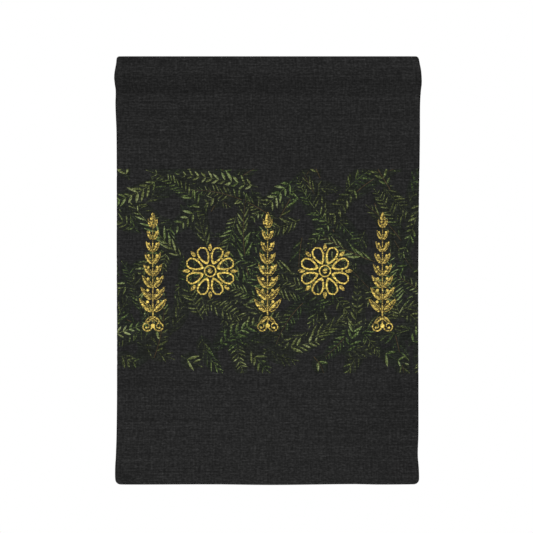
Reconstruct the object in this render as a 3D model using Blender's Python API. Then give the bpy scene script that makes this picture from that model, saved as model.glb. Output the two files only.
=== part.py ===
"""Wall tapestry: a dark cloth panel that hangs from a rod pocket sewn across its head.

Metres, +Z up, +X to the right as seen from the front, and the front faces -Y. The origin is the
middle of the top fold. The cloth hangs below it, and the seam's middle plane is at y = 0.
"""

from bisect import bisect_right
from collections import namedtuple
from math import cos, exp, pi, sqrt

import bmesh
import bpy

# Driving sizes
HEIGHT = 1.008  # top fold to foot
SEAM = 0.0875  # drop of the row of stitches that closes the pocket
POCKET = 0.0905  # drop of the lower edge of the pocket's back flap, just under those stitches
GAP = 0.0003  # clearance between the pocket and the panel
CLOTH = 0.0015  # one layer
HEM_SIDE = 0.012  # turned edge down each side, on the back
HEM_FOOT = 0.057  # turned edge along the foot, on the back
HEM_STEP = 0.001  # width of the step where a hem ends
HEM_LAYERS = 2
HEAD_CORNER = 0.0065  # radius of the two upper corners
FOOT_CORNER = 0.0130  # radius of the two lower corners

# The empty pocket stands open in a pear shape, fuller in front than behind
FRONT_BELLY = 0.013
BACK_BELLY = 0.009
BELLY_ROUND = 0.50  # how quickly a wall swells below the top fold
BELLY_TAPER = 0.88  # how quickly it draws in to the seam
SWELL_EASE = 0.012  # drop over which the panel leaves the seam's plane

# Half widths of the hanging cloth: the pocket's mouths flare, the middle draws in a little and the foot's
# corners spread again
Edge = namedtuple("Edge", "drop left right")
EDGES = [
    Edge(0.000, 0.3543, 0.3545),
    Edge(0.015, 0.3552, 0.3572),
    Edge(0.035, 0.3585, 0.3608),
    Edge(0.050, 0.3602, 0.3620),
    Edge(0.065, 0.3590, 0.3626),
    Edge(0.080, 0.3571, 0.3611),
    Edge(0.115, 0.3577, 0.3591),
    Edge(0.185, 0.3553, 0.3589),
    Edge(0.350, 0.3549, 0.3566),
    Edge(0.480, 0.3549, 0.3553),
    Edge(0.780, 0.3541, 0.3553),
    Edge(0.890, 0.3553, 0.3553),
    Edge(0.937, 0.3569, 0.3538),
    Edge(0.975, 0.3587, 0.3562),
    Edge(HEIGHT, 0.3584, 0.3571),
]

# How far the foot's edge rises above the full drop, which fades out quickly further up
FOOT_REACH = 12
Foot = namedtuple("Foot", "across rise")
FEET = [
    Foot(-0.355, 0.0004),
    Foot(-0.120, 0.0012),
    Foot(0.012, 0.0000),
    Foot(0.200, 0.0018),
    Foot(0.262, 0.0008),
    Foot(0.355, 0.0014),
]

# How open the pocket stands along its length, as a share of its bellies
Mouth = namedtuple("Mouth", "across open")
MOUTHS = [
    Mouth(-0.355, 1.00),
    Mouth(-0.240, 0.90),
    Mouth(-0.060, 0.97),
    Mouth(0.110, 0.91),
    Mouth(0.240, 0.96),
    Mouth(0.355, 1.00),
]

# Broad swells of the hanging panel, towards the front where the depth is positive
Swell = namedtuple("Swell", "across drop half_width half_height depth")
SWELLS = [
    Swell(0.000, 0.108, 2.000, 0.014, 0.0011),
    Swell(0.050, 0.185, 0.070, 0.090, 0.0022),
    Swell(-0.190, 0.150, 0.110, 0.050, 0.0014),
    Swell(-0.130, 0.430, 0.120, 0.130, 0.0020),
    Swell(0.180, 0.380, 0.100, 0.120, 0.0016),
    Swell(-0.030, 0.590, 0.090, 0.080, -0.0018),
    Swell(0.290, 0.720, 0.090, 0.140, 0.0024),
    Swell(0.020, 0.930, 0.140, 0.090, 0.0026),
    Swell(-0.270, 0.780, 0.100, 0.120, 0.0016),
    Swell(-0.370, 1.010, 0.060, 0.080, -0.0040),
]

# Mesh steps
PANEL_COLUMNS = 22
PANEL_ROWS = 34
EVEN_ROWS = 0.55  # 1 spaces the panel's rows evenly, and less draws them closer together under the seam
POCKET_STATIONS = 12
WALL_STEPS = 14
CORNER_TURNS = (1, 0.75, 0.5, 0.25, 0)  # shares of a quarter turn, from the side of a corner to its end
SHARP_ANGLE = pi / 6

# Finish: charcoal canvas, a little darker where the pocket faces down
POCKET_COLOUR = (0.020, 0.020, 0.020)
PANEL_COLOUR = (0.023, 0.023, 0.022)
CLOTH_ROUGHNESS = 0.9


def along(rows, column, place):
    """The value of a column at this place: a smooth curve through the rows."""
    places = [row[0] for row in rows]
    values = [getattr(row, column) for row in rows]
    place = min(max(place, places[0]), places[-1])
    low = min(bisect_right(places, place), len(rows) - 1) - 1
    span = places[low + 1] - places[low]
    share = (place - places[low]) / span

    def slope(row):
        before, after = max(row - 1, 0), min(row + 1, len(rows) - 1)
        return (values[after] - values[before]) / (places[after] - places[before]) * span

    start, end = values[low], values[low + 1]
    return (
        start
        + share * slope(low)
        + share**2 * (3 * (end - start) - 2 * slope(low) - slope(low + 1))
        + share**3 * (2 * (start - end) + slope(low) + slope(low + 1))
    )


def corner_inset(distance, radius):
    """How far a rounded corner draws an edge in, at this distance from the corner's end."""
    short = max(radius - distance, 0)
    return radius - sqrt(radius**2 - short**2)


def side(drop, column):
    """The cloth's half width at this drop, to the left or the right, with its corners rounded."""
    inset = corner_inset(drop, HEAD_CORNER) + corner_inset(HEIGHT - drop, FOOT_CORNER)
    return along(EDGES, column, drop) - inset


def across(share, drop):
    """X of a point that lies at this share of the way from the left edge to the right one."""
    left, right = side(drop, "left"), side(drop, "right")
    return share * (left + right) - left


def belly(share):
    """How far a pocket wall stands out, from 0 to 1, at this share of the way down to the seam."""
    fullest = BELLY_ROUND / (BELLY_ROUND + BELLY_TAPER)
    peak = fullest**BELLY_ROUND * (1 - fullest) ** BELLY_TAPER
    return share**BELLY_ROUND * (1 - share) ** BELLY_TAPER / peak


def swell(x, drop):
    """How far the panel's front stands forward of the seam's plane."""
    height = sum(
        s.depth * exp(-(((x - s.across) / s.half_width) ** 2) - ((drop - s.drop) / s.half_height) ** 2)
        for s in SWELLS
    )
    start = min(max((drop - POCKET - GAP - CLOTH) / SWELL_EASE, 0), 1)
    return height * start**2 * (3 - 2 * start)


def cloth_material(name, colour):
    material = bpy.data.materials.new(name)
    material.use_nodes = True
    shader = material.node_tree.nodes["Principled BSDF"]
    shader.inputs["Base Color"].default_value = (*colour, 1)
    shader.inputs["Roughness"].default_value = CLOTH_ROUGHNESS
    shader.inputs["Metallic"].default_value = 0
    return material


def add_object(name, bm, material):
    """One named object from a finished mesh."""
    mesh = bpy.data.meshes.new(name)
    bm.to_mesh(mesh)
    bm.free()
    mesh.shade_smooth()
    mesh.set_sharp_from_angle(angle=SHARP_ANGLE)
    mesh.materials.append(material)
    part = bpy.data.objects.new(name, mesh)
    bpy.context.scene.collection.objects.link(part)
    return part


def pocket_section(share, layers):
    """Points of the pocket's outer wall and of its hollow, at this share of the way across.

    Both run up the front, over the fold and down the back. The outer wall ends in the two corners of the
    sewn strip, and the hollow starts and ends in one point at the seam.
    """
    middle = across(share, SEAM)
    front = FRONT_BELLY * along(MOUTHS, "open", middle)
    back = BACK_BELLY * along(MOUTHS, "open", middle)
    # Steps that are close together at the fold and at the seam
    steps = [(1 - cos(pi * k / WALL_STEPS)) / 2 for k in range(WALL_STEPS + 1)]

    outer = [(-CLOTH, POCKET)]
    outer += [(-CLOTH - front * belly(step), SEAM * step) for step in reversed(steps)]
    outer += [(CLOTH + back * belly(step), SEAM * step) for step in steps]
    outer += [(CLOTH, POCKET)]

    # A hem's further layer takes room from the hollow all round, and doubly in its narrow foot
    extra = CLOTH * (layers - 1)
    top, foot = CLOTH + extra, SEAM - 2 * extra
    hollow = [(0, foot)]
    hollow += [(-(front - extra) * belly(step), top + (foot - top) * step) for step in reversed(steps[1:-1])]
    hollow += [(0, top)]
    hollow += [((back - extra) * belly(step), top + (foot - top) * step) for step in steps[1:-1]]
    return outer, hollow


def build_rod_pocket(material):
    """The folded and sewn head, open from side to side, with doubled cloth round both mouths."""
    width = side(SEAM, "left") + side(SEAM, "right")
    hem, step = HEM_SIDE / width, HEM_STEP / width
    stations = [(0, HEM_LAYERS), (hem, HEM_LAYERS), (hem + step, 1)]
    inner = 1 - 2 * (hem + step)
    stations += [(hem + step + inner * k / POCKET_STATIONS, 1) for k in range(1, POCKET_STATIONS)]
    stations += [(1 - hem - step, 1), (1 - hem, HEM_LAYERS), (1, HEM_LAYERS)]

    bm = bmesh.new()
    rings = []
    for share, layers in stations:
        loops = []
        for section in pocket_section(share, layers):
            loops.append([bm.verts.new((across(share, drop), y, -drop)) for y, drop in section])
        rings.append(loops)

    for near, far in zip(rings, rings[1:]):
        for loop_near, loop_far in zip(near, far):
            count = len(loop_near)
            for k in range(count):
                after = (k + 1) % count
                bm.faces.new((loop_near[k], loop_near[after], loop_far[after], loop_far[k]))

    for outer, hollow in (rings[0], rings[-1]):
        # The strip below the hollow, then the walls, which have one outer point for each hollow point
        bm.faces.new((outer[0], outer[1], hollow[0], outer[-2], outer[-1]))
        walls = outer[1 : WALL_STEPS + 2] + outer[WALL_STEPS + 2 : -1]
        inside = hollow[: WALL_STEPS + 1] + [hollow[WALL_STEPS]] + hollow[WALL_STEPS + 1 :] + [hollow[0]]
        for k in range(len(walls) - 1):
            corners = [walls[k], walls[k + 1], inside[k + 1]]
            if inside[k] is not inside[k + 1]:
                corners.append(inside[k])
            bm.faces.new(corners)
    bmesh.ops.recalc_face_normals(bm, faces=bm.faces)
    return add_object("rod_pocket", bm, material)


def panel_columns():
    """Shares across the panel, with a close pair of columns where each side hem ends."""
    width = side(HEIGHT / 2, "left") + side(HEIGHT / 2, "right")
    hem, step = HEM_SIDE / width, HEM_STEP / width
    inner = 1 - 2 * (hem + step)
    columns = [0, hem, hem + step]
    columns += [hem + step + inner * k / PANEL_COLUMNS for k in range(1, PANEL_COLUMNS)]
    return columns + [1 - hem - step, 1 - hem, 1]


def panel_rows():
    """Drops down the panel, close together at the head, at the foot hem's end and round the corners."""
    head = POCKET + GAP
    hem_end = HEIGHT - HEM_FOOT - HEM_STEP
    rows = [head, head + CLOTH]
    start = rows[-1]
    # Rows that lie closer together just under the seam, where the cloth ripples
    for k in range(1, PANEL_ROWS):
        share = k / PANEL_ROWS
        rows.append(start + (hem_end - start) * (EVEN_ROWS * share + (1 - EVEN_ROWS) * share**2))
    rows += [hem_end, hem_end + HEM_STEP, HEIGHT - HEM_FOOT / 2]
    rows += [HEIGHT - FOOT_CORNER * (1 - cos(pi / 2 * turn)) for turn in CORNER_TURNS]
    return rows


def build_panel(material):
    """The hanging cloth: its front is a grid on the swells, and Solidify gives it its layers behind."""
    bm = bmesh.new()
    layer = bm.verts.layers.deform.verify()
    columns, rows = panel_columns(), panel_rows()
    grid = []
    for row in rows:
        line = []
        for column, share in enumerate(columns):
            x = across(share, row)
            lift = along(FEET, "rise", x) * (row / HEIGHT) ** FOOT_REACH
            point = bm.verts.new((x, -CLOTH - swell(x, row), -row + lift))
            at_side = column < 2 or column > len(columns) - 3
            at_foot = row > HEIGHT - HEM_FOOT - HEM_STEP / 2
            point[layer][0] = 1 if at_side or at_foot else 0
            line.append(point)
        grid.append(line)
    for upper, lower in zip(grid, grid[1:]):
        for k in range(len(columns) - 1):
            bm.faces.new((upper[k], lower[k], lower[k + 1], upper[k + 1]))

    panel = add_object("panel", bm, material)
    panel.vertex_groups.new(name="hem")
    layers = panel.modifiers.new("Layers", "SOLIDIFY")
    layers.thickness = CLOTH * HEM_LAYERS
    layers.offset = -1
    layers.vertex_group = "hem"
    layers.thickness_vertex_group = 1 / HEM_LAYERS
    return panel


def main():
    for old in list(bpy.data.objects):
        bpy.data.objects.remove(old)
    build_rod_pocket(cloth_material("pocket cloth", POCKET_COLOUR))
    build_panel(cloth_material("panel cloth", PANEL_COLOUR))


main()
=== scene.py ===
"""Looks of the wall tapestry: one printed cloth with its hems, rod pocket and stitches, hung face on.

Metres, +Z up, front faces -Y, origin in the middle of the top fold. The cloth is first laid out flat, in two
measures: across from its middle line, and down from its top fold, negative on the pocket's back flap.
Mesh, print and stitches are all drawn on that flat cloth, and hang() then puts them in place.
"""

from collections import namedtuple
from math import atan2, cos, hypot, pi, radians, sin, tan
from random import Random

import bmesh
import bpy
import numpy as np
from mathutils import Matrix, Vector
from mathutils.geometry import delaunay_2d_cdt


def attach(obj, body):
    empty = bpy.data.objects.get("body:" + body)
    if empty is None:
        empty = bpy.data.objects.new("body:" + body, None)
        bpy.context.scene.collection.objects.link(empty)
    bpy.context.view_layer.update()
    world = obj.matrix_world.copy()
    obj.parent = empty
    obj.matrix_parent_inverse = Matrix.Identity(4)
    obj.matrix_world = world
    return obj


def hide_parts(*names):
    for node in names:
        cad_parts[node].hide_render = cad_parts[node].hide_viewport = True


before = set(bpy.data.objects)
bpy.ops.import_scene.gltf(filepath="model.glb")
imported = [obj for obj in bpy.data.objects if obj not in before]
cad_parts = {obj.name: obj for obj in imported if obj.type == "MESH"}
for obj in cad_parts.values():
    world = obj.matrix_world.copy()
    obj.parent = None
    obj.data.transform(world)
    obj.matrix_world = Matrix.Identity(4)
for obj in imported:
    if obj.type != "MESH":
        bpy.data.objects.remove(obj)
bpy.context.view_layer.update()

# Hanging shape, as in the solids
HEIGHT = 1.008  # top fold to foot
SEAM = 0.0875  # drop of the stitches that close the rod pocket
POCKET = 0.0905  # drop of the raw edge of the pocket's back flap
FRONT_FACE = 0.0015  # how far the cloth's front lies before the seam's middle plane
HEM_SIDE = 0.012
HEM_FOOT = 0.057
HEAD_CORNER = 0.0065
FOOT_CORNER = 0.0130
BACK_BELLY = 0.009
BELLY_ROUND = 0.50
BELLY_TAPER = 0.88
SEAM_HOLD = 6
SWELL_START = 0.0923  # drop at which the panel leaves the seam's plane
SWELL_EASE = 0.012

# The cloth's reach to the left and to the right of its middle, by drop
EDGES = {
    0.000: (0.3543, 0.3545),
    0.015: (0.3552, 0.3572),
    0.035: (0.3585, 0.3608),
    0.050: (0.3602, 0.3620),
    0.065: (0.3590, 0.3626),
    0.080: (0.3571, 0.3611),
    0.115: (0.3577, 0.3591),
    0.185: (0.3553, 0.3589),
    0.350: (0.3549, 0.3566),
    0.480: (0.3549, 0.3553),
    0.780: (0.3541, 0.3553),
    0.890: (0.3553, 0.3553),
    0.937: (0.3569, 0.3538),
    0.975: (0.3587, 0.3562),
    HEIGHT: (0.3584, 0.3571),
}

FOOT_REACH = 12
# How much the foot rises, and how far the pocket stands open, by place across
FEET = {-0.355: 0.0004, -0.120: 0.0012, 0.012: 0.0000, 0.200: 0.0018, 0.262: 0.0008, 0.355: 0.0014}
MOUTHS = {-0.355: 1.00, -0.240: 0.90, -0.060: 0.97, 0.110: 0.91, 0.240: 0.96, 0.355: 1.00}

# Soft swells, here and below: across, drop, half width, half height and depth
SWELLS = [
    (0.000, 0.108, 2.000, 0.014, 0.0011),
    (0.050, 0.185, 0.070, 0.090, 0.0022),
    (-0.190, 0.150, 0.110, 0.050, 0.0014),
    (-0.130, 0.430, 0.120, 0.130, 0.0020),
    (0.180, 0.380, 0.100, 0.120, 0.0016),
    (-0.030, 0.590, 0.090, 0.080, -0.0018),
    (0.290, 0.720, 0.090, 0.140, 0.0024),
    (0.020, 0.930, 0.140, 0.090, 0.0026),
    (-0.270, 0.780, 0.100, 0.120, 0.0016),
    (-0.370, 1.010, 0.060, 0.080, -0.0040),
]

# The pocket's front: round over the fold, plumb, fullest at a third, then leaning in to the seam
ROUND_DROP = 0.009
ROUND_DEPTH = 0.0096
FULLNESS = 0.0028
FULL_DROPS = (0.016, 0.034)
LEAN = radians(17)
LEAN_FOOT = SEAM + 0.0020
LEAN_SOFTNESS = 0.0007
MEET_SOFTNESS = 0.0014

# Relief that only the cloth has: puffs of the front wall, waves by the seam and the foot hem, and puckers
PUFFS = [
    (-0.290, 0.034, 0.090, 0.010, 0.0009),
    (-0.130, 0.036, 0.080, 0.009, 0.0005),
    (0.265, 0.027, 0.100, 0.009, 0.0006),
    (0.330, 0.060, 0.070, 0.018, 0.0008),
    (-0.010, 0.062, 0.110, 0.013, -0.0004),
]
WAVES = [
    (0.000, 0.1050, 2.000, 0.0056, 0.00095),
    (0.000, 0.1285, 2.000, 0.0115, 0.00120),
    (0.000, 0.1690, 2.000, 0.0120, -0.00070),
    (-0.300, 0.127, 0.060, 0.0080, 0.00030),
    (-0.205, 0.149, 0.050, 0.0050, 0.00035),
    (-0.110, 0.178, 0.060, 0.0120, 0.00060),
    (0.110, 0.148, 0.090, 0.0080, 0.00035),
    (0.300, 0.112, 0.060, 0.0060, 0.00035),
    (0.000, 0.9505, 2.000, 0.0026, 0.00060),
    (-0.240, 0.968, 0.090, 0.0080, 0.00022),
    (0.250, 0.972, 0.100, 0.0100, 0.00022),
]
HEM_PUSH = 0.0005  # how far the foot hem's layers push the front out
HEM_PUSH_DROPS = (HEIGHT - HEM_FOOT - 0.0035, HEIGHT - HEM_FOOT + 0.0010)
FOOT_ROLL = 0.0010  # how far the foot's fold stands forward
FOOT_ROLL_HEIGHT = 0.007
SIDE_ROLL = 0.0011  # how far the side hems roll back towards their folds
SIDE_ROLL_WIDTH = 0.009
GATHERS = [(1.0, 0.0250, 1.7, 0.170), (0.6, 0.0440, 2.1, 0.273)]  # share, pitch, wander and its pitch
PUCKER_DEPTH = 0.0003
PUCKER_REACH = 0.006  # distance from the seam at which the puckers are deepest
SEAM_SINK = 0.00012  # how far the seam's stitches pull the cloth in
SEAM_GROOVE = 0.0025  # half width of the groove that they pull

# The cloth: one layer, and the radius that its printed side takes round a turned edge
LAYER = 0.0008
LAYER_GAP = 0.00006
TURN = LAYER + LAYER_GAP / 2
TURN_START = TURN * pi / 2  # length of cloth from a fold's line to the start of its curve
HALF_FACE = 0.3555  # middle line to the line of the side fold
HALF_CUT = HALF_FACE + HEM_SIDE
TWO_LAYERS = 2 * LAYER + LAYER_GAP
FOUR_LAYERS = 4 * LAYER + 3 * LAYER_GAP
STACK_EASE = 0.004  # width over which the head and foot thicken above the side hems
NUDGE = 0.00005  # step of the differences that give the cloth's facing
LENGTH_STEPS = 4001
WELD = 0.000002

# Mesh steps, in metres of flat cloth
COLUMN = 0.0105
ROW = 0.0105
WALL_ROWS = 16
HEM_SHARES = (0.25, 0.5, 0.75, 1)
TOP_STEPS = (0.0001, 0.0003)
SEAM_ROWS = (0.0862, SEAM, 0.0882, 0.0893, POCKET, SWELL_START, 0.0945, 0.0972, 0.0998, 0.1024, 0.105)
WAVE_ROWS = (0.1078, 0.1108, 0.1145, 0.119, 0.124, 0.129, 0.1345, 0.14, 0.146, 0.152, 0.159, 0.166)
WAVE_ROWS += (0.173, 0.181, 0.189)
HEM_ROWS = (-0.0060, -0.0040, -0.0025, -0.0010, 0, 0.0012, 0.0025, 0.0045, 0.0075, 0.015, 0.025, 0.035)
FOOT_STEPS = (0.00045, 0.0009, 0.0013, 0.0020, 0.0028)  # to each side of the foot's fold
CORNER_STEPS = (0.0040, 0.0055, 0.0075, 0.0100, 0.0130)
FLAP_SHARES = (0.12, 0.3, 0.5, 0.7, 0.9, 1)
CREASE_ANGLE = radians(60)

# Print, on a band of the flat cloth
LEAF, GOLD = 1, 2  # the cloth's materials after its first, the bare canvas
BAND_TOP = 0.265
BAND_FOOT = 0.745
BAND_MIDDLE = (BAND_TOP + BAND_FOOT) / 2
UP = -pi / 2  # heading towards the head of the cloth
REVERSE_TONE = 1  # of the plain side and the cut edges, where bare cloth on the face has 0
RAW_MARGIN = 0.0006  # how near a print comes to the cloth's raw edges
BLOCK = 6  # columns and rows of the mesh that the print cuts at a time
CUT_SLACK = 1e-7
FOLIAGE_SEED = 11
CHART = "flat"
PRINT_PLACE = "print_place"

# Sewing
STITCH = 0.0030
STITCH_PITCH = 0.0036
ROW_INSET = 0.0030  # end of a row of stitches to the edge or fold before it
THREAD = 0.00024  # half width of the thread
SIDE_ROW = 0.0100  # side fold to its row of stitches
FOOT_ROW = 0.0535  # foot to its row of stitches

# Camera and stage
CAMERA_PLACE = (-0.0023, -5.0, -0.4944)
PHOTO_WIDTH = 1.2537  # at the cloth
SENSOR = 36.0
FLOOR_DROP = 1.4
FLOOR_RADIUS = 1.5
FLOOR_SIDES = 96
FLOOR_COLOUR = (0.75, 0.75, 0.74, 1)
# Each lamp's name, height, heading and power
LAMPS = [("key", radians(33), radians(20), 3.1), ("back light", radians(6), radians(184), 2.0)]
LAMP_SOFTNESS = radians(25)
LAMP_DISTANCE = 3
SKY_LIGHT = 0.26
LIGHT_LEVEL = 1.1  # brightness of a pure white cloth here, against the paper-white surroundings


def through(table, place):
    """Values at these places of a smooth curve through a table of values by place, as in the solids."""
    places, values = np.array(list(table)), np.array(list(table.values()))
    place = np.clip(place, places[0], places[-1])
    low = np.clip(np.searchsorted(places, place, side="right") - 1, 0, len(places) - 2)
    index = np.arange(len(places))
    before, after = np.maximum(index - 1, 0), np.minimum(index + 1, len(places) - 1)
    slopes = (values[after] - values[before]) / (places[after] - places[before])
    span = places[low + 1] - places[low]
    share = (place - places[low]) / span
    rise = values[low + 1] - values[low]
    leave, arrive = slopes[low] * span, slopes[low + 1] * span
    curve = share**2 * (3 * rise - 2 * leave - arrive)
    return values[low] + share * leave + curve + share**3 * (leave + arrive - 2 * rise)


def eased(value, low, high):
    """0 below low and 1 above high, with a soft start and end between them."""
    share = np.clip((value - low) / (high - low), 0, 1)
    return share * share * (3 - 2 * share)


def corner_inset(distance, radius):
    """How far a rounded corner draws an edge in, at this distance from the corner's end."""
    short = np.clip(radius - distance, 0, radius)
    return radius - np.sqrt(radius**2 - short**2)


def half_widths(drop):
    """How far the hanging cloth reaches to the left and to the right at this drop."""
    inset = corner_inset(drop, HEAD_CORNER) + corner_inset(HEIGHT - drop, FOOT_CORNER)
    return [through({place: reach[side] for place, reach in EDGES.items()}, drop) - inset for side in (0, 1)]


def belly(share):
    """How far a pocket wall stands out, from 0 to 1, at this share of the way down to the seam."""
    fullest = BELLY_ROUND / (BELLY_ROUND + BELLY_TAPER)
    peak = fullest**BELLY_ROUND * (1 - fullest) ** BELLY_TAPER
    share = np.clip(share, 0, 1)
    return share**BELLY_ROUND * (1 - share) ** BELLY_TAPER / peak


def front_wall(drop):
    """How far the pocket's front stands forward of the seam's plane, dying out just below the seam."""
    fold = ROUND_DEPTH * np.sqrt(1 - (1 - np.clip(drop / ROUND_DROP, 0, 1)) ** 2)
    upper = fold + FULLNESS * eased(drop, *FULL_DROPS)
    lower = LEAN_SOFTNESS * np.logaddexp(0, tan(LEAN) * (LEAN_FOOT - drop) / LEAN_SOFTNESS)
    return -MEET_SOFTNESS * np.logaddexp(-upper / MEET_SOFTNESS, -lower / MEET_SOFTNESS)


def heaps(swells, x, drop):
    """The depths of soft round swells, added up."""
    return sum(
        depth * np.exp(-(((x - across) / half_width) ** 2) - ((drop - down) / half_height) ** 2)
        for across, down, half_width, half_height, depth in swells
    )


def pucker(x, drop):
    """Small gathers on both sides of the seam, whose stitches hold it down in a groove."""
    away = np.abs(drop - SEAM)
    hold = away / PUCKER_REACH * np.exp(1 - away / PUCKER_REACH)
    gathers = 0
    for share, pitch, wander, wander_pitch in GATHERS:
        turn = wander * np.sin(2 * pi * x / wander_pitch)
        gathers = gathers + share * np.sin(2 * pi * x / pitch + turn)
    return PUCKER_DEPTH * hold * gathers - SEAM_SINK * np.exp(-((away / SEAM_GROOVE) ** 2))


def relief(x, drop):
    """How far the front stands forward of the seam's plane, the pocket's own belly left out."""
    start = eased(drop, SWELL_START, SWELL_START + SWELL_EASE)
    panel = heaps(SWELLS, x, drop) + heaps(WAVES, x, drop) + HEM_PUSH * eased(drop, *HEM_PUSH_DROPS)
    pocket = np.clip(4 * drop / SEAM * (1 - drop / SEAM), 0, 1) * heaps(PUFFS, x, drop)
    left, right = half_widths(drop)
    edge = np.clip(np.minimum(x + left, right - x) / SIDE_ROLL_WIDTH, 0, 1)
    foot = np.clip(1 - (HEIGHT - drop) / FOOT_ROLL_HEIGHT, 0, 1)
    rolls = FOOT_ROLL * foot**2 - SIDE_ROLL * (1 - edge) ** 2
    return start * panel + pocket + pucker(x, drop) + rolls


def stack_at(across):
    """Thickness of the cloth folded on itself, with four layers where the side hems are folded in."""
    inner = HALF_FACE - HEM_SIDE
    return TWO_LAYERS + (FOUR_LAYERS - TWO_LAYERS) * eased(np.abs(across), inner - STACK_EASE, inner)


def foot_turn(down, stack):
    """How far round the foot's fold the cloth has turned, and its length past that curve."""
    past = down - (HEIGHT - stack / 2 * pi / 2)
    return np.clip(past / (stack / 2), 0, pi), np.maximum(past - stack / 2 * pi, 0)


def drop_at(down, stack):
    """How far this length down the cloth hangs below the top fold. Past the foot's fold it rises again."""
    angle, past = foot_turn(down, stack)
    foot = HEIGHT - stack / 2
    return np.where(angle > 0, foot + stack / 2 * np.sin(angle) - past, np.abs(down))


def unhemmed(x, down, stack):
    """Points of the cloth's printed side at x, as if its sides were not turned back."""
    drop = drop_at(down, stack)
    angle, _ = foot_turn(down, stack)
    opening = through(MOUTHS, x)
    # The pocket's two walls part from the top fold in a small round, and meet it with no crease
    parted = np.sqrt(1 - (1 - np.clip(2 * np.abs(down) / stack, 0, 1)) ** 2)
    front = stack / 2 * (1 - parted) - opening * front_wall(drop) - relief(x, drop) * parted
    back = stack / 2 * (1 + parted) + BACK_BELLY * opening * belly(drop / SEAM) - pucker(x, drop) * parted
    # At the seam the stitches hold the back to the front
    back -= opening * front_wall(np.maximum(drop, SEAM)) * np.minimum(drop / SEAM, 1) ** SEAM_HOLD
    y = np.where(down < 0, back, front + stack / 2 * (1 - np.cos(angle)))
    lift = through(FEET, x) * (drop / HEIGHT) ** FOOT_REACH
    return np.stack([x, y - FRONT_FACE, lift - drop], axis=-1)


def facing(surface, a, b):
    """Unit normals of surface(a, b), pointing out of its printed side."""
    down = surface(a, b + NUDGE) - surface(a, b - NUDGE)
    across = surface(a + NUDGE, b) - surface(a - NUDGE, b)
    normal = np.cross(down, across)
    return normal / np.linalg.norm(normal, axis=-1, keepdims=True)


def hang(across, down):
    """Points of the cloth's printed side from its flat measures, with its side hems turned back."""
    stack = stack_at(across)
    edge = HALF_FACE - np.abs(across)
    angle = np.clip((TURN_START - edge) / TURN, 0, pi)
    past = np.maximum(-edge - TURN_START, 0)
    left, right = half_widths(drop_at(down, stack))
    reach = (left + right) / 2 - TURN
    out = reach * np.minimum(np.abs(across) / (HALF_FACE - TURN_START), 1) + TURN * np.sin(angle) - past
    x = (right - left) / 2 + np.sign(across) * out
    normal = facing(lambda a, b: unhemmed(a, b, stack), x, down)
    return unhemmed(x, down, stack) - normal * (TURN * (1 - np.cos(angle)))[..., None]


def hang_off(across, down, height):
    """Points at a height above the printed side, or below it where the height is negative."""
    return hang(across, down) + facing(hang, across, down) * np.asarray(height, float)[..., None]


def cloth_lines():
    """The mesh's lines across and down the flat cloth, closer together at folds, hems and the seam."""
    hem = HALF_FACE - HEM_SIDE
    plain = hem - STACK_EASE
    count = round(plain / COLUMN)
    half = [plain * k / count for k in range(1, count + 1)]
    half += [hem - STACK_EASE / 2, hem, hem + HEM_SIDE / 3, hem + HEM_SIDE * 2 / 3]
    half += [HALF_FACE - 2 * TURN_START] + [HALF_FACE + TURN_START * k / 3 for k in range(-3, 4)]
    half += [HALF_FACE + HEM_SIDE * share for share in HEM_SHARES]

    wall = list(TOP_STEPS) + [SEAM * (1 - cos(pi * k / WALL_ROWS)) / 2 for k in range(1, WALL_ROWS)]
    back = [POCKET, (POCKET + SEAM) / 2, SEAM, SEAM_ROWS[0]] + wall
    down = [-row for row in back] + [0] + wall + list(SEAM_ROWS + WAVE_ROWS)
    start, end = WAVE_ROWS[-1], HEIGHT - HEM_FOOT + HEM_ROWS[0]
    count = round((end - start) / ROW)
    down += [start + (end - start) * k / count for k in range(1, count)]
    down += [HEIGHT - HEM_FOOT + step for step in HEM_ROWS]
    down += [HEIGHT - step for step in CORNER_STEPS + FOOT_STEPS]
    down += [HEIGHT] + [HEIGHT + step for step in FOOT_STEPS]
    down += [HEIGHT + HEM_FOOT * share for share in FLAP_SHARES]
    return np.array([-line for line in reversed(half)] + [0] + half), np.array(sorted(down))


# Print: its shapes

# One shape in one ink. A loop inside another is a hole. The place that its material reads is told by its
# root, way, length, half width and how far its tip bends aside.
Patch = namedtuple("Patch", "ink loops place tone")
Form = namedtuple("Form", "widest blunt steps")  # of a leaf, with steps along its edges


def turned(angle):
    return np.array([cos(angle), sin(angle)])


def beside(way):
    """Unit vectors at right angles to ways on the flat cloth."""
    return np.array([way[1], -way[0]])


def half_blade(share, form):
    """Width of a leaf along its rib, from 0 to 1."""
    rise, fall = form.blunt * form.widest / (1 - form.widest), form.blunt
    return share**rise * (1 - share) ** fall / (form.widest**rise * (1 - form.widest) ** fall)


def loop_of(there, back):
    """The loop along one line and back along another with the same ends."""
    return np.concatenate([there, back[-2:0:-1]])


def leaf_lines(root, heading, length, width, bend, form):
    """Points along a leaf's rib and both of its edges."""
    way = turned(heading)
    aside = beside(way)
    share = np.linspace(0, 1, form.steps + 1)
    rib = root + np.outer(share * length, way) + np.outer(bend * share**2, aside)
    reach = np.outer(width / 2 * half_blade(share, form), aside)
    return rib, rib + reach, rib - reach


def blade(ink, root, heading, length, width, bend, tone, form):
    """A leaf with a bent rib."""
    _, left, right = leaf_lines(root, heading, length, width, bend, form)
    return Patch(ink, [loop_of(left, right)], (root, turned(heading), length, width / 2, bend), tone)


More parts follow.
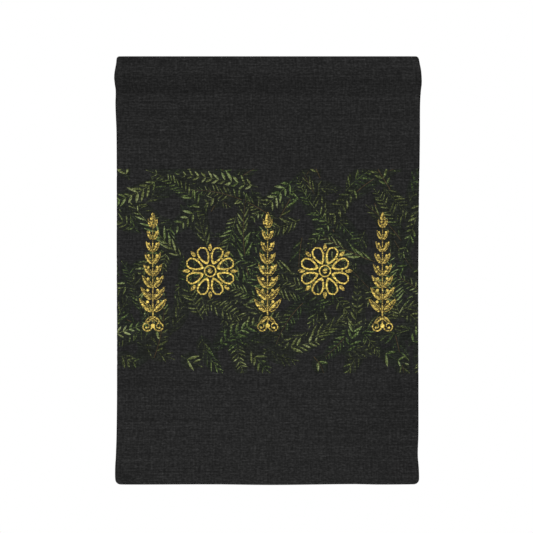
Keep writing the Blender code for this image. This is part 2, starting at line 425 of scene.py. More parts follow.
def stroke(ink, points, widths, tone):
    """A drawn line through points, with a width at each."""
    points = np.asarray(points, float)
    ways = np.gradient(points, axis=0)
    ways /= np.linalg.norm(ways, axis=1, keepdims=True)
    asides = beside(ways.T).T * (np.asarray(widths, float) / 2)[:, None]
    loop = np.concatenate([points + asides, (points - asides)[::-1]])
    span = points[-1] - points[0]
    length = hypot(*span)
    return Patch(ink, [loop], (points[0], span / length, length, max(widths) / 2, 0.0), tone)


def spot(centre, radius, tone, sides=10, hole=0.0):
    """A round gold spot, or a ring where it has a hole."""
    centre = np.asarray(centre, float)
    angles = [2 * pi * k / sides for k in range(sides)]
    loops = [np.array([centre + size * turned(angle) for angle in angles]) for size in (radius, hole) if size]
    return Patch(GOLD, loops, (centre - (radius, 0), turned(0), 2 * radius, radius, 0.0), tone)


def curling_line(root, heading, length, curl, steps):
    """Points along a line that turns evenly by curl."""
    points = [np.asarray(root, float)]
    for k in range(steps):
        points.append(points[-1] + turned(heading + curl * (k + 0.5) / steps) * length / steps)
    return np.array(points)


# Print: foliage

Kind = namedtuple("Kind", "length width pitch spread in_pairs form")
WILLOW = Kind(0.0390, 0.0056, 0.0092, 0.62, False, Form(0.38, 1.00, 4))
OLIVE = Kind(0.0290, 0.0066, 0.0150, 0.85, True, Form(0.48, 0.80, 4))
ROSEMARY = Kind(0.0280, 0.0043, 0.0098, 0.98, True, Form(0.45, 0.80, 3))

# Drop, sway, period, phase, kind of shoot and tone
VINES = [
    (0.365, 0.020, 0.50, 1.7, WILLOW, 0.26),
    (0.630, 0.020, 0.54, 0.2, WILLOW, 0.26),
    (0.315, 0.018, 0.46, 0.4, ROSEMARY, 0.36),
    (0.435, 0.022, 0.52, 2.6, WILLOW, 0.40),
    (0.560, 0.022, 0.50, 4.4, ROSEMARY, 0.40),
    (0.670, 0.018, 0.44, 1.2, WILLOW, 0.36),
    (0.300, 0.014, 0.38, 3.0, OLIVE, 0.58),
    (0.390, 0.020, 0.60, 5.2, ROSEMARY, 0.56),
    (0.505, 0.024, 0.48, 1.0, WILLOW, 0.60),
    (0.600, 0.020, 0.56, 3.6, ROSEMARY, 0.56),
    (0.695, 0.014, 0.40, 5.6, OLIVE, 0.58),
]
SHOOT_PITCH = 0.076
SHOOT_JITTER = 0.008
SHOOT_LENGTHS = (0.095, 0.190)
SHOOT_TURNS = (0.40, 1.35)  # away from the vine's own way
SHOOT_CURLS = (-0.7, 0.5)
SHOOT_TONES = (-0.1, 0.2)
TWIG_WIDTHS = (0.0016, 0.0007)
BROWN_TONE = 2.0
BROWN_SHARE = 0.2  # of the twigs
STEM_TONE = 0.45
SHADOW_TONE = -1  # of the dark ground that a shoot lies on
SHADOW_FORM = Form(0.45, 0.6, 6)
LEAFLESS = 0.1  # share of the leaves that are missing
ROOT_SIZE, TIP_SIZE = 0.65, 0.35  # size of a shoot's first and last leaf against its largest
# How leaves differ: shares of their kind's length, width and angle, bend for their length, and tone
LENGTHS, WIDTHS, ANGLES, BENDS, TONES = (0.75, 1.15), (0.85, 1.15), (0.75, 1.25), (0.02, 0.16), (-0.2, 0.2)


def shoot(rng, kind, root, heading, length, curl, tone):
    """A twig with leaves in pairs or by turns, which get smaller to a last one at its tip."""
    steps = max(round(length / kind.pitch), 3)
    points = curling_line(root, heading, length, curl, steps)
    wide, bend = 1.9 * kind.length * sin(kind.spread), -length * curl / 2
    twig_tone = BROWN_TONE if rng.random() < BROWN_SHARE else STEM_TONE
    yield blade(LEAF, points[0], heading, length * 1.05, wide, bend, SHADOW_TONE, SHADOW_FORM)
    yield stroke(LEAF, points, np.linspace(*TWIG_WIDTHS, steps + 1), twig_tone)
    for k in range(1, steps + 1):
        share = k / steps
        size = min(ROOT_SIZE + share * 1.4, 1) * (1 - (1 - TIP_SIZE) * share**2)
        sides = (-1, 1) if kind.in_pairs else (1 if k % 2 else -1,)
        for side in sides if k < steps else (0,):
            if rng.random() < LEAFLESS:
                continue
            reach = kind.length * size * rng.uniform(*LENGTHS)
            angle = heading + curl * k / steps + side * kind.spread * rng.uniform(*ANGLES)
            width = kind.width * size * rng.uniform(*WIDTHS)
            bend = side * reach * rng.uniform(*BENDS)
            light = min(max(tone + rng.uniform(*TONES), 0), 1)
            yield blade(LEAF, points[k], angle, reach, width, bend, light, kind.form)


def foliage(rng):
    """Wandering vines across the whole band, with shoots to both sides of them."""
    for middle, sway, period, phase, kind, lightness in VINES:
        way = rng.choice((-1, 1))
        start = -HALF_CUT - rng.uniform(0, SHOOT_PITCH)
        for k in range(round(2 * HALF_CUT / SHOOT_PITCH) + 2):
            x = start + k * SHOOT_PITCH + rng.uniform(-SHOOT_JITTER, SHOOT_JITTER)
            angle = 2 * pi * x / period + phase
            down = middle + sway * sin(angle)
            heading = atan2(sway * 2 * pi / period * cos(angle), 1) + (0 if way > 0 else pi)
            side = 1 if k % 2 else -1
            length = rng.uniform(*SHOOT_LENGTHS)
            if side * way > 0:
                # Shoots get shorter towards the foot of the band, and are cut off at its head
                length = min(length, (BAND_FOOT - down) * 1.2)
            turn = side * rng.uniform(*SHOOT_TURNS)
            curl = side * rng.uniform(*SHOOT_CURLS)
            tone = lightness + rng.uniform(*SHOOT_TONES)
            yield from shoot(rng, kind, (x, down), heading + turn, length, curl, tone)


# Print: gold ornament

SPRIGS = (-0.270, 0.0, 0.270)
SPRIG_HEAD, SPRIG_FOOT = BAND_MIDDLE - 0.112, BAND_MIDDLE + 0.130
STEM_WIDTHS = (0.0036, 0.0016)
TIERS = 8
FIRST_TIER = 0.034  # foot of the sprig to its first tier of leaves
BARE_STEM = 0.044  # length of stem above and below the tiers
TIER_SHRINK = 0.48  # how much smaller the last tier is
LeafSize = namedtuple("LeafSize", "length width bend")
TIER_LEAF = LeafSize(0.043, 0.0130, 0.009)  # whose bend turns its tip up
FOOT_LEAF = LeafSize(0.026, 0.0090, -0.005)
BUD = LeafSize(0.033, 0.0125, 0.0)
ENGRAVED = Form(0.40, 0.85, 7)
LEAF_RIM = 0.0012
HATCH_PITCH = 0.0042
HATCH_WIDTHS = (0.0014, 0.0006)
RIB_WIDTHS = (0.0018, 0.0006)
STALK = 0.018  # of a berry
SCROLL = 0.0125  # radius of a scroll
SCROLL_ASIDE = 0.0145  # stem to the middle of a scroll
SCROLL_TURNS = 1.3
SCROLL_STEPS = 26
SCROLL_WIDTHS = (0.0032, 0.0016)

ROSETTES = (-0.135, 0.135)
PETALS = 8
PETAL_START, PETAL_LENGTH, PETAL_WIDTH = 0.0165, 0.0440, 0.0270
PETAL_REACH = 0.062
PETAL_FORM = Form(0.64, 0.42, 10)
TIP_FORM = Form(0.45, 0.80, 5)
EYE = 0.0145  # radius of the ring round the eye
LINE = 0.0034  # width of the rosette's drawn lines


def engraved_leaf(root, heading, leaf, side=1, size=1, tone=0.85):
    """A leaf whose lit half is full, and whose shaded half is hatched inside a fine rim."""
    root, way = np.asarray(root, float), turned(heading)
    length, width, bend = leaf.length * size, leaf.width * size, side * leaf.bend * size
    aside = beside(way)
    rib, left, right = leaf_lines(root, heading, length, width, bend, ENGRAVED)
    inner = (root + 0.0015 * way, heading, length - 0.004, width - 2 * LEAF_RIM, bend)
    core_rib, _, core = leaf_lines(*inner, ENGRAVED)
    for loops in ([loop_of(rib, left)], [loop_of(rib, right), loop_of(core_rib, core)]):
        yield Patch(GOLD, loops, (root, way, length, width / 2, bend), tone)

    def rib_at(share):
        return root + way * share * length + aside * bend * share**2

    strokes = max(round(length / HATCH_PITCH), 4)
    for k in range(1, strokes):
        share = k / strokes
        reach = width / 2 * 0.9 * half_blade(share, ENGRAVED)
        start = rib_at(share)
        yield stroke(GOLD, [start, start + (0.8 * way - aside) * reach], HATCH_WIDTHS, tone - 0.25)
    rib = [rib_at(share) for share in np.linspace(0, 0.97, 6)]
    yield stroke(GOLD, rib, np.linspace(*RIB_WIDTHS, len(rib)), 0.3)


def scroll(x, side):
    """A spiral line that starts beside the stem, runs down and round, and winds in."""
    points = []
    for k in range(SCROLL_STEPS + 1):
        share = k / SCROLL_STEPS
        away = turned(pi - 2 * pi * SCROLL_TURNS * share) * SCROLL * (1 - 0.72 * share)
        points.append((x + side * SCROLL_ASIDE + side * away[0], SPRIG_FOOT + away[1]))
    return points


def gold_sprig(x):
    """An upright sprig: a tall stem with tiers of leaves, berries and a bud, on a small scrolled foot."""
    stem = [(x, SPRIG_FOOT + (SPRIG_HEAD - SPRIG_FOOT) * share) for share in np.linspace(0, 1, 9)]
    yield stroke(GOLD, stem, np.linspace(*STEM_WIDTHS, len(stem)), 0.6)
    for k in range(TIERS):
        share = k / (TIERS - 1)
        down = SPRIG_FOOT - FIRST_TIER - (SPRIG_FOOT - SPRIG_HEAD - BARE_STEM) * share
        size = 1 - TIER_SHRINK * share
        for side in (-1, 1):
            heading = UP + side * (0.98 - 0.35 * share)
            yield from engraved_leaf((x + side * 0.0016, down), heading, TIER_LEAF, side, size)
            if k < TIERS - 1:
                stalk = np.array([x + side * 0.002, down - 0.009])
                berry = stalk + turned(UP + side * 0.62) * STALK * size
                yield stroke(GOLD, [stalk, berry], (0.0010, 0.0010), 0.6)
                yield spot(berry, 0.0028 * size + 0.0006, 1.0)
    yield from engraved_leaf((x, SPRIG_HEAD + 0.006), UP, BUD)
    for side in (-1, 1):
        yield from engraved_leaf((x, SPRIG_FOOT - 0.022), -UP - side * 1.05, FOOT_LEAF, side, tone=0.8)
        line = scroll(x, side)
        yield stroke(GOLD, line, np.linspace(*SCROLL_WIDTHS, len(line)), 0.85)
        yield spot(line[-1], 0.0025, 1.0)
    yield spot((x, SPRIG_FOOT - 0.001), 0.0050, 1.0, 14)


def petal(centre, heading, line):
    """Outline of a petal, blunt outside and narrow at its root, or the edge of its hole inside a line."""
    start, length, width = PETAL_START + 1.9 * line, PETAL_LENGTH - 2.8 * line, PETAL_WIDTH - 2.1 * line
    way, share = turned(heading), np.linspace(0, 1, PETAL_FORM.steps + 1)
    rib = centre + np.outer(start + share * length, way)
    reach = np.outer(width / 2 * half_blade(share, PETAL_FORM), beside(way))
    return loop_of(rib + reach, rib - reach)


def gold_rosette(x):
    """A round flower in outline: eight petals round a ringed eye, with a leaf tip between each two."""
    centre = np.array([x, BAND_MIDDLE])
    for k in range(PETALS):
        heading, between = 2 * pi * (k + 0.5) / PETALS, 2 * pi * k / PETALS
        loops = [petal(centre, heading, line) for line in (0, LINE)]
        yield Patch(GOLD, loops, (centre, turned(heading), PETAL_REACH, PETAL_WIDTH / 2, 0.0), 0.95)
        tip, bead = (centre + away * turned(between) for away in (0.047, 0.0405))
        yield blade(GOLD, tip, between, 0.018, 0.0085, 0, 0.75, TIP_FORM)
        yield spot(bead, 0.0021, 0.85, 8)
    yield spot(centre, EYE, 0.95, 28, hole=EYE - 0.8 * LINE)
    yield spot(centre, 0.0058, 0.85, 14)


def ornament():
    """Sprigs and rosettes by turns along the middle of the band."""
    for x in SPRIGS:
        yield from gold_sprig(x)
    for x in ROSETTES:
        yield from gold_rosette(x)


# Print: cut into the cloth's mesh


def cut_off(loop, axis, limit, way):
    """The part of a loop past a limit along an axis of the flat cloth, or short of it where way is -1."""
    kept = []
    for start, end in zip(loop, np.roll(loop, -1, axis=0)):
        near, far = ((point[axis] - limit) * way for point in (start, end))
        if near > 0:
            kept.append(start)
        if near * far < 0:
            kept.append(start + (end - start) * near / (near - far))
    return np.reshape(kept, (-1, 2))


def kept_on(patches):
    """The patches, cut off at the band's head and foot and just short of the cloth's raw side edges."""
    limit = HALF_CUT - RAW_MARGIN
    for patch in patches:
        loops = patch.loops
        for cut in ((1, BAND_TOP, 1), (1, BAND_FOOT, -1), (0, -limit, 1), (0, limit, -1)):
            loops = [cut_off(loop, *cut) for loop in loops]
        if len(loops[0]) > 2:
            yield patch._replace(loops=[loop for loop in loops if len(loop) > 2])


def inside(points, loops):
    """Whether each point lies inside an odd number of the loops."""
    odd = np.zeros(len(points), bool)
    x, y = points[:, 0], points[:, 1]
    for loop in loops:
        for (x0, y0), (x1, y1) in zip(loop, np.roll(loop, -1, axis=0)):
            if y0 != y1:
                odd ^= ((y0 > y) != (y1 > y)) & (x < (x1 - x0) * (y - y0) / (y1 - y0) + x0)
    return odd


def cut_block(columns, rows, patches):
    """One block of the mesh, cut along its patches' outlines, and the topmost patch over each triangle."""
    points = [Vector((x, y)) for y in rows for x in columns]
    wide, high = len(columns), len(rows)
    last = (high - 1) * wide
    edges = [(start + k, start + k + 1) for start in (0, last) for k in range(wide - 1)]
    edges += [(k * wide + side, (k + 1) * wide + side) for side in (0, wide - 1) for k in range(high - 1)]
    for _, patch in patches:
        for loop in patch.loops:
            first, count = len(points), len(loop)
            points += [Vector(point) for point in loop]
            edges += [(first + k, first + (k + 1) % count) for k in range(count)]
    points, _, triangles, *_ = delaunay_2d_cdt(points, edges, [], 0, CUT_SLACK, False)
    points, triangles = np.array(points), np.array(triangles)

    middles = points[triangles].mean(axis=1)
    mine = ((middles > (columns[0], rows[0])) & (middles < (columns[-1], rows[-1]))).all(axis=1)
    triangles, middles = triangles[mine], middles[mine]
    shown = np.full(len(triangles), -1)
    for index, patch in patches:
        low, high = patch.loops[0].min(axis=0), patch.loops[0].max(axis=0)
        near = np.flatnonzero(((middles >= low) & (middles <= high)).all(axis=1))
        shown[near[inside(middles[near], patch.loops)]] = index
    used, triangles = np.unique(triangles, return_inverse=True)
    return points[used], triangles.reshape(-1, 3), shown


def plain_block(columns, rows):
    """One block of the mesh with nothing printed on it, whose triangles all show -1."""
    wide = len(columns)
    points = [(x, y) for y in rows for x in columns]
    triangles = []
    for start in range(0, (len(rows) - 1) * wide, wide):
        for k in range(start, start + wide - 1):
            triangles += [(k, k + 1, k + wide + 1), (k, k + wide + 1, k + wide)]
    return np.array(points), np.array(triangles), [-1] * len(triangles)


def printed_side(across, down, patches):
    """The whole printed side, block by block."""
    lows = np.array([patch.loops[0].min(axis=0) for patch in patches])
    highs = np.array([patch.loops[0].max(axis=0) for patch in patches])
    blocks = []
    for first_row in range(0, len(down) - 1, BLOCK):
        rows = down[first_row : first_row + BLOCK + 1]
        for first in range(0, len(across) - 1, BLOCK):
            columns = across[first : first + BLOCK + 1]
            clear = (highs < (columns[0], rows[0])) | (lows > (columns[-1], rows[-1]))
            over = [(k, patches[k]) for k in np.flatnonzero(~clear.any(axis=1))]
            blocks.append(cut_block(columns, rows, over) if over else plain_block(columns, rows))
    points, triangles, shown = zip(*blocks)
    firsts = np.cumsum([0] + [len(block) for block in points[:-1]])
    triangles = [faces + first for faces, first in zip(triangles, firsts)]
    return np.concatenate(points), np.concatenate(triangles), np.concatenate(shown)


# Cloth


def wound(points, triangles, way):
    """The triangles, all turned to run the same way round on the flat cloth."""
    a, b, c = (points[triangles[:, k]] for k in range(3))
    area = (b[:, 0] - a[:, 0]) * (c[:, 1] - a[:, 1]) - (b[:, 1] - a[:, 1]) * (c[:, 0] - a[:, 0])
    return np.where((area * way > 0)[:, None], triangles, triangles[:, ::-1])


def raw_rim(across, down):
    """The strip along the raw edges: its points, their heights and its triangles."""
    loop = [(x, down[-1]) for x in across[:-1]] + [(across[-1], y) for y in down[:0:-1]]
    loop += [(x, down[0]) for x in across[:0:-1]] + [(across[0], y) for y in down[:-1]]
    count = len(loop)
    triangles = []
    for k in range(count):
        after = (k + 1) % count
        triangles += [(after, k, count + k), (after, count + k, count + after)]
    return np.array(loop + loop), np.repeat([0, -LAYER], count), np.array(triangles)


def cloth_length(down):
    """Length of cloth between the top fold and these measures down, which the pocket's bellies lengthen."""
    steps = np.linspace(-POCKET, HEIGHT + HEM_FOOT, LENGTH_STEPS)
    points = hang(np.zeros(len(steps)), steps)
    length = np.concatenate([[0], np.cumsum(np.linalg.norm(np.diff(points, axis=0), axis=1))])
    return np.interp(down, steps, length - np.interp(0, steps, length))


def place_on(points, patch):
    """Share along a patch from its root, share aside of its rib, and its tone."""
    root, way, length, half_width, bend = patch.place
    away = points - root
    along = away @ way / length
    aside = (away @ beside(way) - bend * along**2) / half_width
    return np.stack([along, aside, np.full(len(points), patch.tone)], axis=1)


def build_cloth(materials):
    """One closed piece: the printed side with the print cut in, the plain side, and a rim at raw edges."""
    across, down = cloth_lines()
    patches = [*kept_on(foliage(Random(FOLIAGE_SEED))), *kept_on(ornament())]
    front, front_faces, shown = printed_side(across, down, patches)
    back, back_faces, _ = plain_block(across, down)
    rim, rim_heights, rim_faces = raw_rim(across, down)
    flat = np.concatenate([front, back, rim])
    heights = np.concatenate([np.zeros(len(front)), np.full(len(back), -LAYER), rim_heights])
    front_faces, back_faces = wound(front, front_faces, -1), wound(back, back_faces, 1)
    faces = np.concatenate([front_faces, back_faces + len(front), rim_faces + len(front) + len(back)])

    inks = np.zeros(len(faces), np.int32)
    places = np.zeros((len(faces), 3, 3))
    places[len(front_faces) :, :, 2] = REVERSE_TONE
    for index in np.unique(shown[shown >= 0]):
        mine = np.flatnonzero(shown == index)
        inks[mine] = patches[index].ink
        places[mine] = place_on(front[front_faces[mine]].reshape(-1, 2), patches[index]).reshape(-1, 3, 3)

    mesh = bpy.data.meshes.new("cloth")
    points = hang_off(flat[:, 0], flat[:, 1], heights)
    mesh.from_pydata(points.tolist(), [], faces.tolist())
    for material in materials:
        mesh.materials.append(material)
    mesh.polygons.foreach_set("material_index", inks)
    chart = mesh.uv_layers.new(name=CHART)
    lengths = np.stack([flat[:, 0], -cloth_length(flat[:, 1])], axis=1)
    chart.data.foreach_set("uv", lengths[faces].ravel())
    mesh.attributes.new(PRINT_PLACE, "FLOAT_VECTOR", "CORNER").data.foreach_set("vector", places.ravel())

    bm = bmesh.new()
    bm.from_mesh(mesh)
    bmesh.ops.remove_doubles(bm, verts=bm.verts, dist=WELD)
    bm.to_mesh(mesh)
    bm.free()
    mesh.shade_smooth()
    mesh.set_sharp_from_angle(angle=CREASE_ANGLE)
    cloth = bpy.data.objects.new("cloth", mesh)
    bpy.context.scene.collection.objects.link(cloth)
    return cloth


# Sewing


def choose(objects):
    """Selects these objects alone, the first of them active."""
    bpy.ops.object.select_all(action="DESELECT")
    for thing in objects:
        thing.select_set(True)
    bpy.context.view_layer.objects.active = objects[0]


def one_stitch():
    """A stitch that lies along X on the plane z = 0, with both ends dipping below it."""
    bpy.ops.object.select_all(action="DESELECT")
    bpy.ops.mesh.primitive_cylinder_add(vertices=6, radius=THREAD, depth=STITCH, rotation=(0, pi / 2, 0))
    stitch = bpy.context.object
    bpy.ops.object.transform_apply()
    bpy.ops.object.mode_set(mode="EDIT")
    for share in (-0.3, 0.3):
        bpy.ops.mesh.select_all(action="SELECT")
        bpy.ops.mesh.bisect(plane_co=(share * STITCH, 0, 0), plane_no=(1, 0, 0))
    bpy.ops.mesh.select_all(action="DESELECT")
    bm = bmesh.from_edit_mesh(stitch.data)
    for vertex in bm.verts:
        vertex.select_set(abs(vertex.co.x) > STITCH * 0.4)
    bmesh.update_edit_mesh(stitch.data)
    bpy.ops.transform.translate(value=(0, 0, -1.6 * THREAD))
    bpy.ops.object.mode_set(mode="OBJECT")
    return stitch


def sewn_row(stitch, start, end):
    """A row of stitches on the printed side between two places on the flat cloth."""
    length = hypot(*np.subtract(end, start))
    way_across, way_down = np.subtract(end, start) / length
    count = int(length / STITCH_PITCH)
    row = stitch.copy()
    row.data = stitch.data.copy()
    bpy.context.scene.collection.objects.link(row)
    choose([row])
    repeat = row.modifiers.new("Row", "ARRAY")
    repeat.count = count
    repeat.use_relative_offset = False
    repeat.use_constant_offset = True
    repeat.constant_offset_displace = (length / count, 0, 0)
    bpy.ops.object.modifier_apply(modifier=repeat.name)

    points = np.empty(len(row.data.vertices) * 3)
    row.data.vertices.foreach_get("co", points)
    along, aside, height = points.reshape(-1, 3).T
    along = along + length / count / 2
    across = start[0] + along * way_across - aside * way_down
    down = start[1] + along * way_down + aside * way_across
    row.data.vertices.foreach_set("co", hang_off(across, down, height).ravel())
    row.data.update()
    return row


def build_stitches(material):
    """All rows of stitches as one piece: pocket seam and foot hem, front and back, and both side hems."""
    end = HALF_FACE - ROW_INSET
    ends = [((-end, down), (end, down)) for down in (-SEAM, SEAM, HEIGHT - FOOT_ROW, HEIGHT + FOOT_ROW)]
    for side in (-1, 1):
        front, behind = side * (HALF_FACE - SIDE_ROW), side * (HALF_FACE + SIDE_ROW)
        ends.append(((front, -POCKET + ROW_INSET), (front, HEIGHT + HEM_FOOT - ROW_INSET)))
        ends.append(((behind, POCKET + ROW_INSET), (behind, HEIGHT - HEM_FOOT - ROW_INSET)))
    stitch = one_stitch()
    rows = [sewn_row(stitch, *pair) for pair in ends]
    bpy.data.objects.remove(stitch)
    choose(rows)
    bpy.ops.object.join()
    sewing = bpy.context.object
    sewing.name = sewing.data.name = "stitches"
    sewing.data.materials.clear()
    sewing.data.materials.append(material)
    bpy.ops.object.shade_smooth_by_angle(angle=CREASE_ANGLE)
    return sewing


# Finishes


class Wire:
    """An output of a node. Arithmetic on it adds Math nodes."""

    def __init__(self, finish, socket):
        self.finish, self.socket = finish, socket

    def maths(self, operation, *values):
        return self.finish.node("ShaderNodeMath", dict(enumerate(values)), operation=operation)

    def of(self, operation):
        return self.maths(operation, self)

    def __add__(self, other):
        return self.maths("ADD", self, other)

    def __sub__(self, other):
        return self.maths("SUBTRACT", self, other)

    def __rsub__(self, other):
        return self.maths("SUBTRACT", other, self)

    def __mul__(self, other):
        return self.maths("MULTIPLY", self, other)

    def __truediv__(self, other):
        return self.maths("DIVIDE", self, other)

    __radd__ = __add__
    __rmul__ = __mul__

    def between(self, low, high):
        """0 at low and 1 at high, with soft ends."""
        sockets = {0: self, 1: low, 2: high}
        return self.finish.node("ShaderNodeMapRange", sockets, interpolation_type="SMOOTHSTEP")


class Finish:
    """A material or a world, and the nodes that its shader reads. On the cloth, flat is the place u, v."""

    def __init__(self, owner, shader="Principled BSDF"):
        owner.use_nodes = True
        self.owner, self.tree = owner, owner.node_tree
        self.shader = self.tree.nodes[shader]

    def shown(self, sockets):
        """The material or world, once its shader is fed."""
        self.feed(self.shader, sockets)
        return self.owner

    def feed(self, node, sockets):
        for name, value in sockets.items():
            if isinstance(value, Wire):
                self.tree.links.new(value.socket, node.inputs[name])
            else:
                node.inputs[name].default_value = value

    def node(self, kind, sockets=None, output=0, stops=(), **settings):
        """Adds a node with its settings, a colour ramp's stops, and what its sockets are fed."""
        made = self.tree.nodes.new(kind)
        for name, value in settings.items():
            setattr(made, name, value)
        for _ in stops[2:]:
            made.color_ramp.elements.new(0.5)
        for k, (position, colour) in enumerate(stops):
            element = made.color_ramp.elements[k]
            element.position, element.color = position, colour
        self.feed(made, sockets or {})
        return Wire(self, made.outputs[output])

    def parts(self, vector):
        """The three numbers of a vector."""
        return [self.node("ShaderNodeSeparateXYZ", {0: vector}, output) for output in range(3)]

    def grain(self, long, high, detail=2.0):
        """Smooth noise around 0 on the flat cloth, with grains about this long and this high."""
        u, v = self.flat
        place = self.node("ShaderNodeCombineXYZ", {0: u * (1 / long), 1: v * (1 / high)})
        return self.node("ShaderNodeTexNoise", {"Vector": place, "Scale": 1.0, "Detail": detail}) - 0.5

    def ramp(self, stops, levels, place):
        pairs = [(stop, ink(*shown)) for stop, shown in zip(stops, levels)]
        return self.node("ShaderNodeValToRGB", {0: place}, stops=pairs)

    def scaled(self, colour, factor):
        return self.node("ShaderNodeVectorMath", {0: colour, "Scale": factor}, operation="SCALE")

    def mixed(self, colour, other, factor):
        return self.node("ShaderNodeMix", {0: factor, 6: colour, 7: other}, output=2, data_type="RGBA")


def ink(red, green, blue):
    """Reflectance of a surface that shows at these levels, from 0 to 255, in this scene's light."""

    def linear(level):
        level /= 255
        return level / 12.92 if level <= 0.04045 else ((level + 0.055) / 1.055) ** 2.4

    return (*(linear(level) / LIGHT_LEVEL for level in (red, green, blue)), 1)


CHARCOAL = ink(35, 35, 35)
REVERSE = ink(54, 53, 51)  # where the black has only sunk through the canvas
THREAD_BLACK = ink(38, 38, 38)
THREAD_GRAIN = 900.0
YARN_PITCH = 0.0011
EDGE_SHADE = 0.28  # how much darker the cloth is painted where it turns at its sides: painted shade
EDGE_TURNS = (HALF_FACE - 0.0052, HALF_FACE - 0.0018)
HEAD_SHADE = 0.22  # and painted shade over its top fold
HEAD_TURNS = (0.0080, 0.0105)
SIDE_HIGHLIGHT = 0.05  # how much paler the cloth is painted just inside its sides: a painted highlight along the side hems
SIDE_HIGHLIGHT_FROM = (HALF_FACE - 0.013, HALF_FACE - 0.007)
# Painted shade and painted highlights, in broad dark and pale places where the cloth's relief would shade:
# across, length of cloth down, half width, half height and share
PAINTED_LIGHT_PLACES = [
    (-0.335, 0.015, 0.035, 0.009, -0.28),
    (-0.260, 0.025, 0.060, 0.008, -0.15),
    (-0.125, 0.022, 0.055, 0.009, -0.10),
    (0.285, 0.025, 0.090, 0.010, 0.12),
    (-0.165, 0.037, 0.045, 0.008, 0.09),
    (-0.315, 0.055, 0.055, 0.014, -0.08),
    (0.310, 0.089, 0.060, 0.010, 0.07),
    (0.010, 0.090, 0.060, 0.010, -0.06),
    (-0.050, 0.119, 0.050, 0.009, -0.09),
    (-0.135, 0.156, 0.050, 0.017, -0.11),
    (0.260, 0.147, 0.055, 0.008, 0.09),
    (0.130, 0.232, 0.100, 0.030, -0.065),
    (0.315, 0.860, 0.080, 0.130, -0.12),
    (-0.020, 0.860, 0.150, 0.080, 0.04),
    (-0.125, 0.985, 0.110, 0.030, -0.08),
    (-0.335, 0.998, 0.045, 0.020, -0.20),
    (0.110, 0.975, 0.110, 0.022, 0.06),
    (0.040, 1.009, 0.300, 0.005, 0.10),
]
BROWN = ink(74, 61, 42)
LEAF_STOPS = (0.00, 0.20, 0.42, 0.64, 0.84, 1.00)
OLIVES = [(33, 35, 31), (40, 43, 32), (61, 67, 42), (90, 97, 53), (114, 121, 74), (132, 139, 98)]
GREENS = [(32, 35, 31), (37, 44, 32), (54, 68, 40), (79, 97, 49), (104, 120, 69), (126, 138, 95)]
GOLD_STOPS = (0.00, 0.30, 0.65, 1.00)
GOLDS = [(78, 64, 36), (130, 109, 56), (194, 169, 86), (236, 208, 104)]


def woven(name, colour_of):
    """Matt canvas of slubby yarn, whose print is coloured by the place on each printed shape and its tone.
    Painted shade and highlights lie on its weave, its folds and listed places.
    """
    finish = Finish(bpy.data.materials.new(name))
    u, v, _ = finish.parts(finish.node("ShaderNodeUVMap", uv_map=CHART))
    finish.flat = u, v

    # Plain weave: over and under change at each crossing
    warp, weft = ((place * (pi / YARN_PITCH)).of("SINE") for place in (u, v))
    warp_up = (warp * weft).between(-0.25, 0.25)
    warp, weft = warp.of("ABSOLUTE"), weft.of("ABSOLUTE")
    warp_height, weft_height = warp * (0.6 + 0.4 * weft), weft * (0.6 + 0.4 * warp)
    height = warp_height * warp_up + weft_height * (1 - warp_up)

    # Thick and thin places in the yarns, mostly along the weft, and broad uneven dye
    slub, streak = finish.grain(0.0062, 0.0040), finish.grain(0.0260, 0.0038)
    pick, post = finish.grain(0.5000, 0.0040), finish.grain(0.0034, 0.0400)
    uneven = slub * 2.5 + streak * 1.45 + pick * 0.9 + post * 1.2 + finish.grain(0.120, 0.090) * 0.25
    shade = 1 + uneven * (1 + uneven * 0.55)
    # Painted shade and painted highlights at the listed places: the pocket's wrinkles, soft creases and the
    # foot fold's highlight
    painted_light = 1
    for across, down, half_width, half_height, share in PAINTED_LIGHT_PLACES:
        aside, below = (u - across) / half_width, (v + down) / half_height
        painted_light = painted_light + ((aside * aside + below * below) * -1).of("EXPONENT") * share

    # Painted highlight in a pale band just inside the side folds, and painted shade where the side folds and
    # the top fold turn away
    edge, head = u.of("ABSOLUTE"), v.of("ABSOLUTE")
    hem_highlight = edge.between(*SIDE_HIGHLIGHT_FROM) * SIDE_HIGHLIGHT
    fold = edge.between(*EDGE_TURNS) * (EDGE_SHADE + SIDE_HIGHLIGHT)
    over = (1 - head.between(*HEAD_TURNS)) * HEAD_SHADE
    # The yarns are painted paler on their tops and darker in the hollows between them: painted highlight and
    # painted shade of the weave
    shade = shade * painted_light * (1 + hem_highlight - fold - over) * (0.82 + 0.36 * height)

    relief_height = height + slub * 0.8 + streak * 0.4
    bump = finish.node("ShaderNodeBump", {"Strength": 0.5, "Distance": 0.0003, "Height": relief_height})
    finish.feed(finish.shader, {"Normal": bump, "Specular IOR Level": 0.08})
    shape = finish.parts(finish.node("ShaderNodeAttribute", output=1, attribute_name=PRINT_PLACE))
    colour = finish.scaled(colour_of(finish, *shape), shade)
    return finish.shown({"Base Color": colour, "Roughness": 0.92 - 0.08 * height})


def bare_cloth(finish, along, side, tone):
    """Black on the face, and paler on the reverse."""
    return finish.mixed(CHARCOAL, REVERSE, tone)


def leaf_colour(finish, along, side, tone):
    """Greens of many tones: each leaf has its own, a lit side, a pale tip, fine veins and flecks of light."""
    fleck = finish.grain(0.0042, 0.0036, 1.0)
    dapple = finish.grain(0.120, 0.090, 1.0)
    lit = side.between(-0.2, 0.2) * 0.24
    veins = ((along * 7 - side.of("ABSOLUTE") * 0.8) * (2 * pi)).of("SINE") * 0.10
    shown = tone - 0.28 + along * 0.16 + lit + veins + fleck * 1.8 + dapple * 0.8
    olive, green = (finish.ramp(LEAF_STOPS, levels, shown) for levels in (OLIVES, GREENS))
    colour = finish.mixed(olive, green, finish.grain(0.090, 0.080, 1.0).between(-0.06, 0.14))
    colour = finish.mixed(colour, BROWN, tone.between(1.4, 1.6))
    cover = (0.85 + finish.grain(0.0060, 0.0045) * 0.9).between(0.0, 1.0)
    return finish.mixed(CHARCOAL, colour, cover)


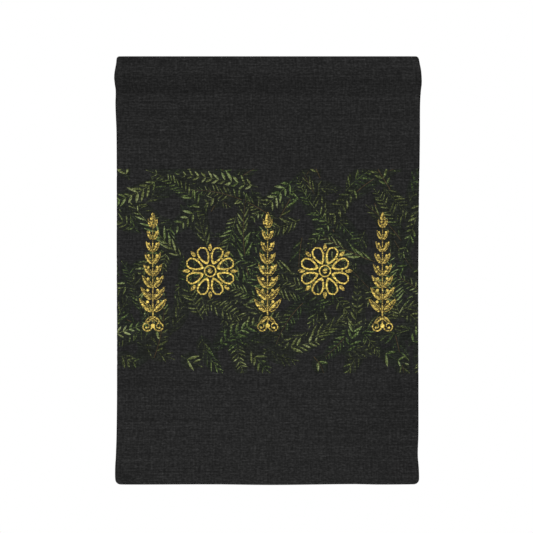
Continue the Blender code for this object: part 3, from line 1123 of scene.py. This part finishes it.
def gold_colour(finish, along, side, tone):
    """Old gold with engraved lines and flecks, worn down to the dark cloth most of all in the leaves."""
    fleck = finish.grain(0.0040, 0.0030, 1.0)
    engraved = ((along * 9 - side.of("ABSOLUTE") * 1.3) * (2 * pi)).of("SINE").between(0.2, 0.9)
    lasting = tone.between(0.86, 0.92)
    shown = tone + fleck * 2.0 + 0.03 - engraved * 0.45 + side * 0.05
    gold = finish.ramp(GOLD_STOPS, GOLDS, shown)
    wear = finish.grain(0.0046, 0.0040, 1.0)
    cover = (0.72 + lasting * 0.42 + wear * 3.4).between(0.0, 1.0)
    return finish.mixed(CHARCOAL, gold, cover)


def thread_finish():
    """Dark spun polyester thread, slightly glossier than the cloth."""
    finish = Finish(bpy.data.materials.new("stitching thread"))
    place = finish.node("ShaderNodeTexCoord", output=3)  # the object's own coordinates
    noise = finish.node("ShaderNodeTexNoise", {"Vector": place, "Scale": THREAD_GRAIN, "Detail": 1.0})
    colour = finish.scaled(THREAD_BLACK[:3], 0.7 + 0.6 * noise)
    return finish.shown({"Base Color": colour, "Roughness": 0.65 + 0.2 * noise, "Specular IOR Level": 0.2})


# Stage


def build_stage():
    """A pale floor below the hanging cloth, a soft light before it and one behind, and white surroundings."""
    bpy.ops.object.select_all(action="DESELECT")
    bpy.ops.mesh.primitive_circle_add(
        vertices=FLOOR_SIDES, radius=FLOOR_RADIUS, fill_type="NGON", location=(0, 0, -FLOOR_DROP)
    )
    floor = bpy.context.object
    floor.name = "floor"
    paper = Finish(bpy.data.materials.new("floor paper"))
    floor.data.materials.append(paper.shown({"Base Color": FLOOR_COLOUR, "Roughness": 0.9}))

    for name, height, heading, power in LAMPS:
        way = Vector((sin(heading) * cos(height), cos(heading) * cos(height), -sin(height)))
        turn = way.to_track_quat("-Z", "Y").to_euler()
        bpy.ops.object.light_add(type="SUN", location=-LAMP_DISTANCE * way, rotation=turn)
        light = bpy.context.object
        light.name = name
        light.data.energy = power
        light.data.angle = LAMP_SOFTNESS

    sky = Finish(bpy.data.worlds.new("studio"), "Background")
    camera_rays = sky.node("ShaderNodeLightPath")
    strength = sky.node("ShaderNodeMapRange", {"Value": camera_rays, "To Min": SKY_LIGHT})
    bpy.context.scene.world = sky.shown({"Color": (1, 1, 1, 1), "Strength": strength})
    bpy.context.scene.view_settings.view_transform = "Standard"


def place_camera():
    bpy.ops.object.camera_add(location=CAMERA_PLACE, rotation=(pi / 2, 0, 0))
    camera = bpy.context.object
    camera.data.sensor_width = SENSOR
    camera.data.lens = SENSOR * -CAMERA_PLACE[1] / PHOTO_WIDTH
    bpy.context.scene.camera = camera


def main():
    place_camera()
    build_stage()
    looks = {"charcoal canvas": bare_cloth, "leaf print": leaf_colour, "gold print": gold_colour}
    cloth = build_cloth([woven(name, colour_of) for name, colour_of in looks.items()])
    stitches = build_stitches(thread_finish())
    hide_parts("panel", "rod_pocket")
    for piece in (cloth, stitches):
        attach(piece, "root")
    cut = (2 * HALF_CUT, float(np.ptp(cloth_length([-POCKET, HEIGHT + HEM_FOOT]))))


main()
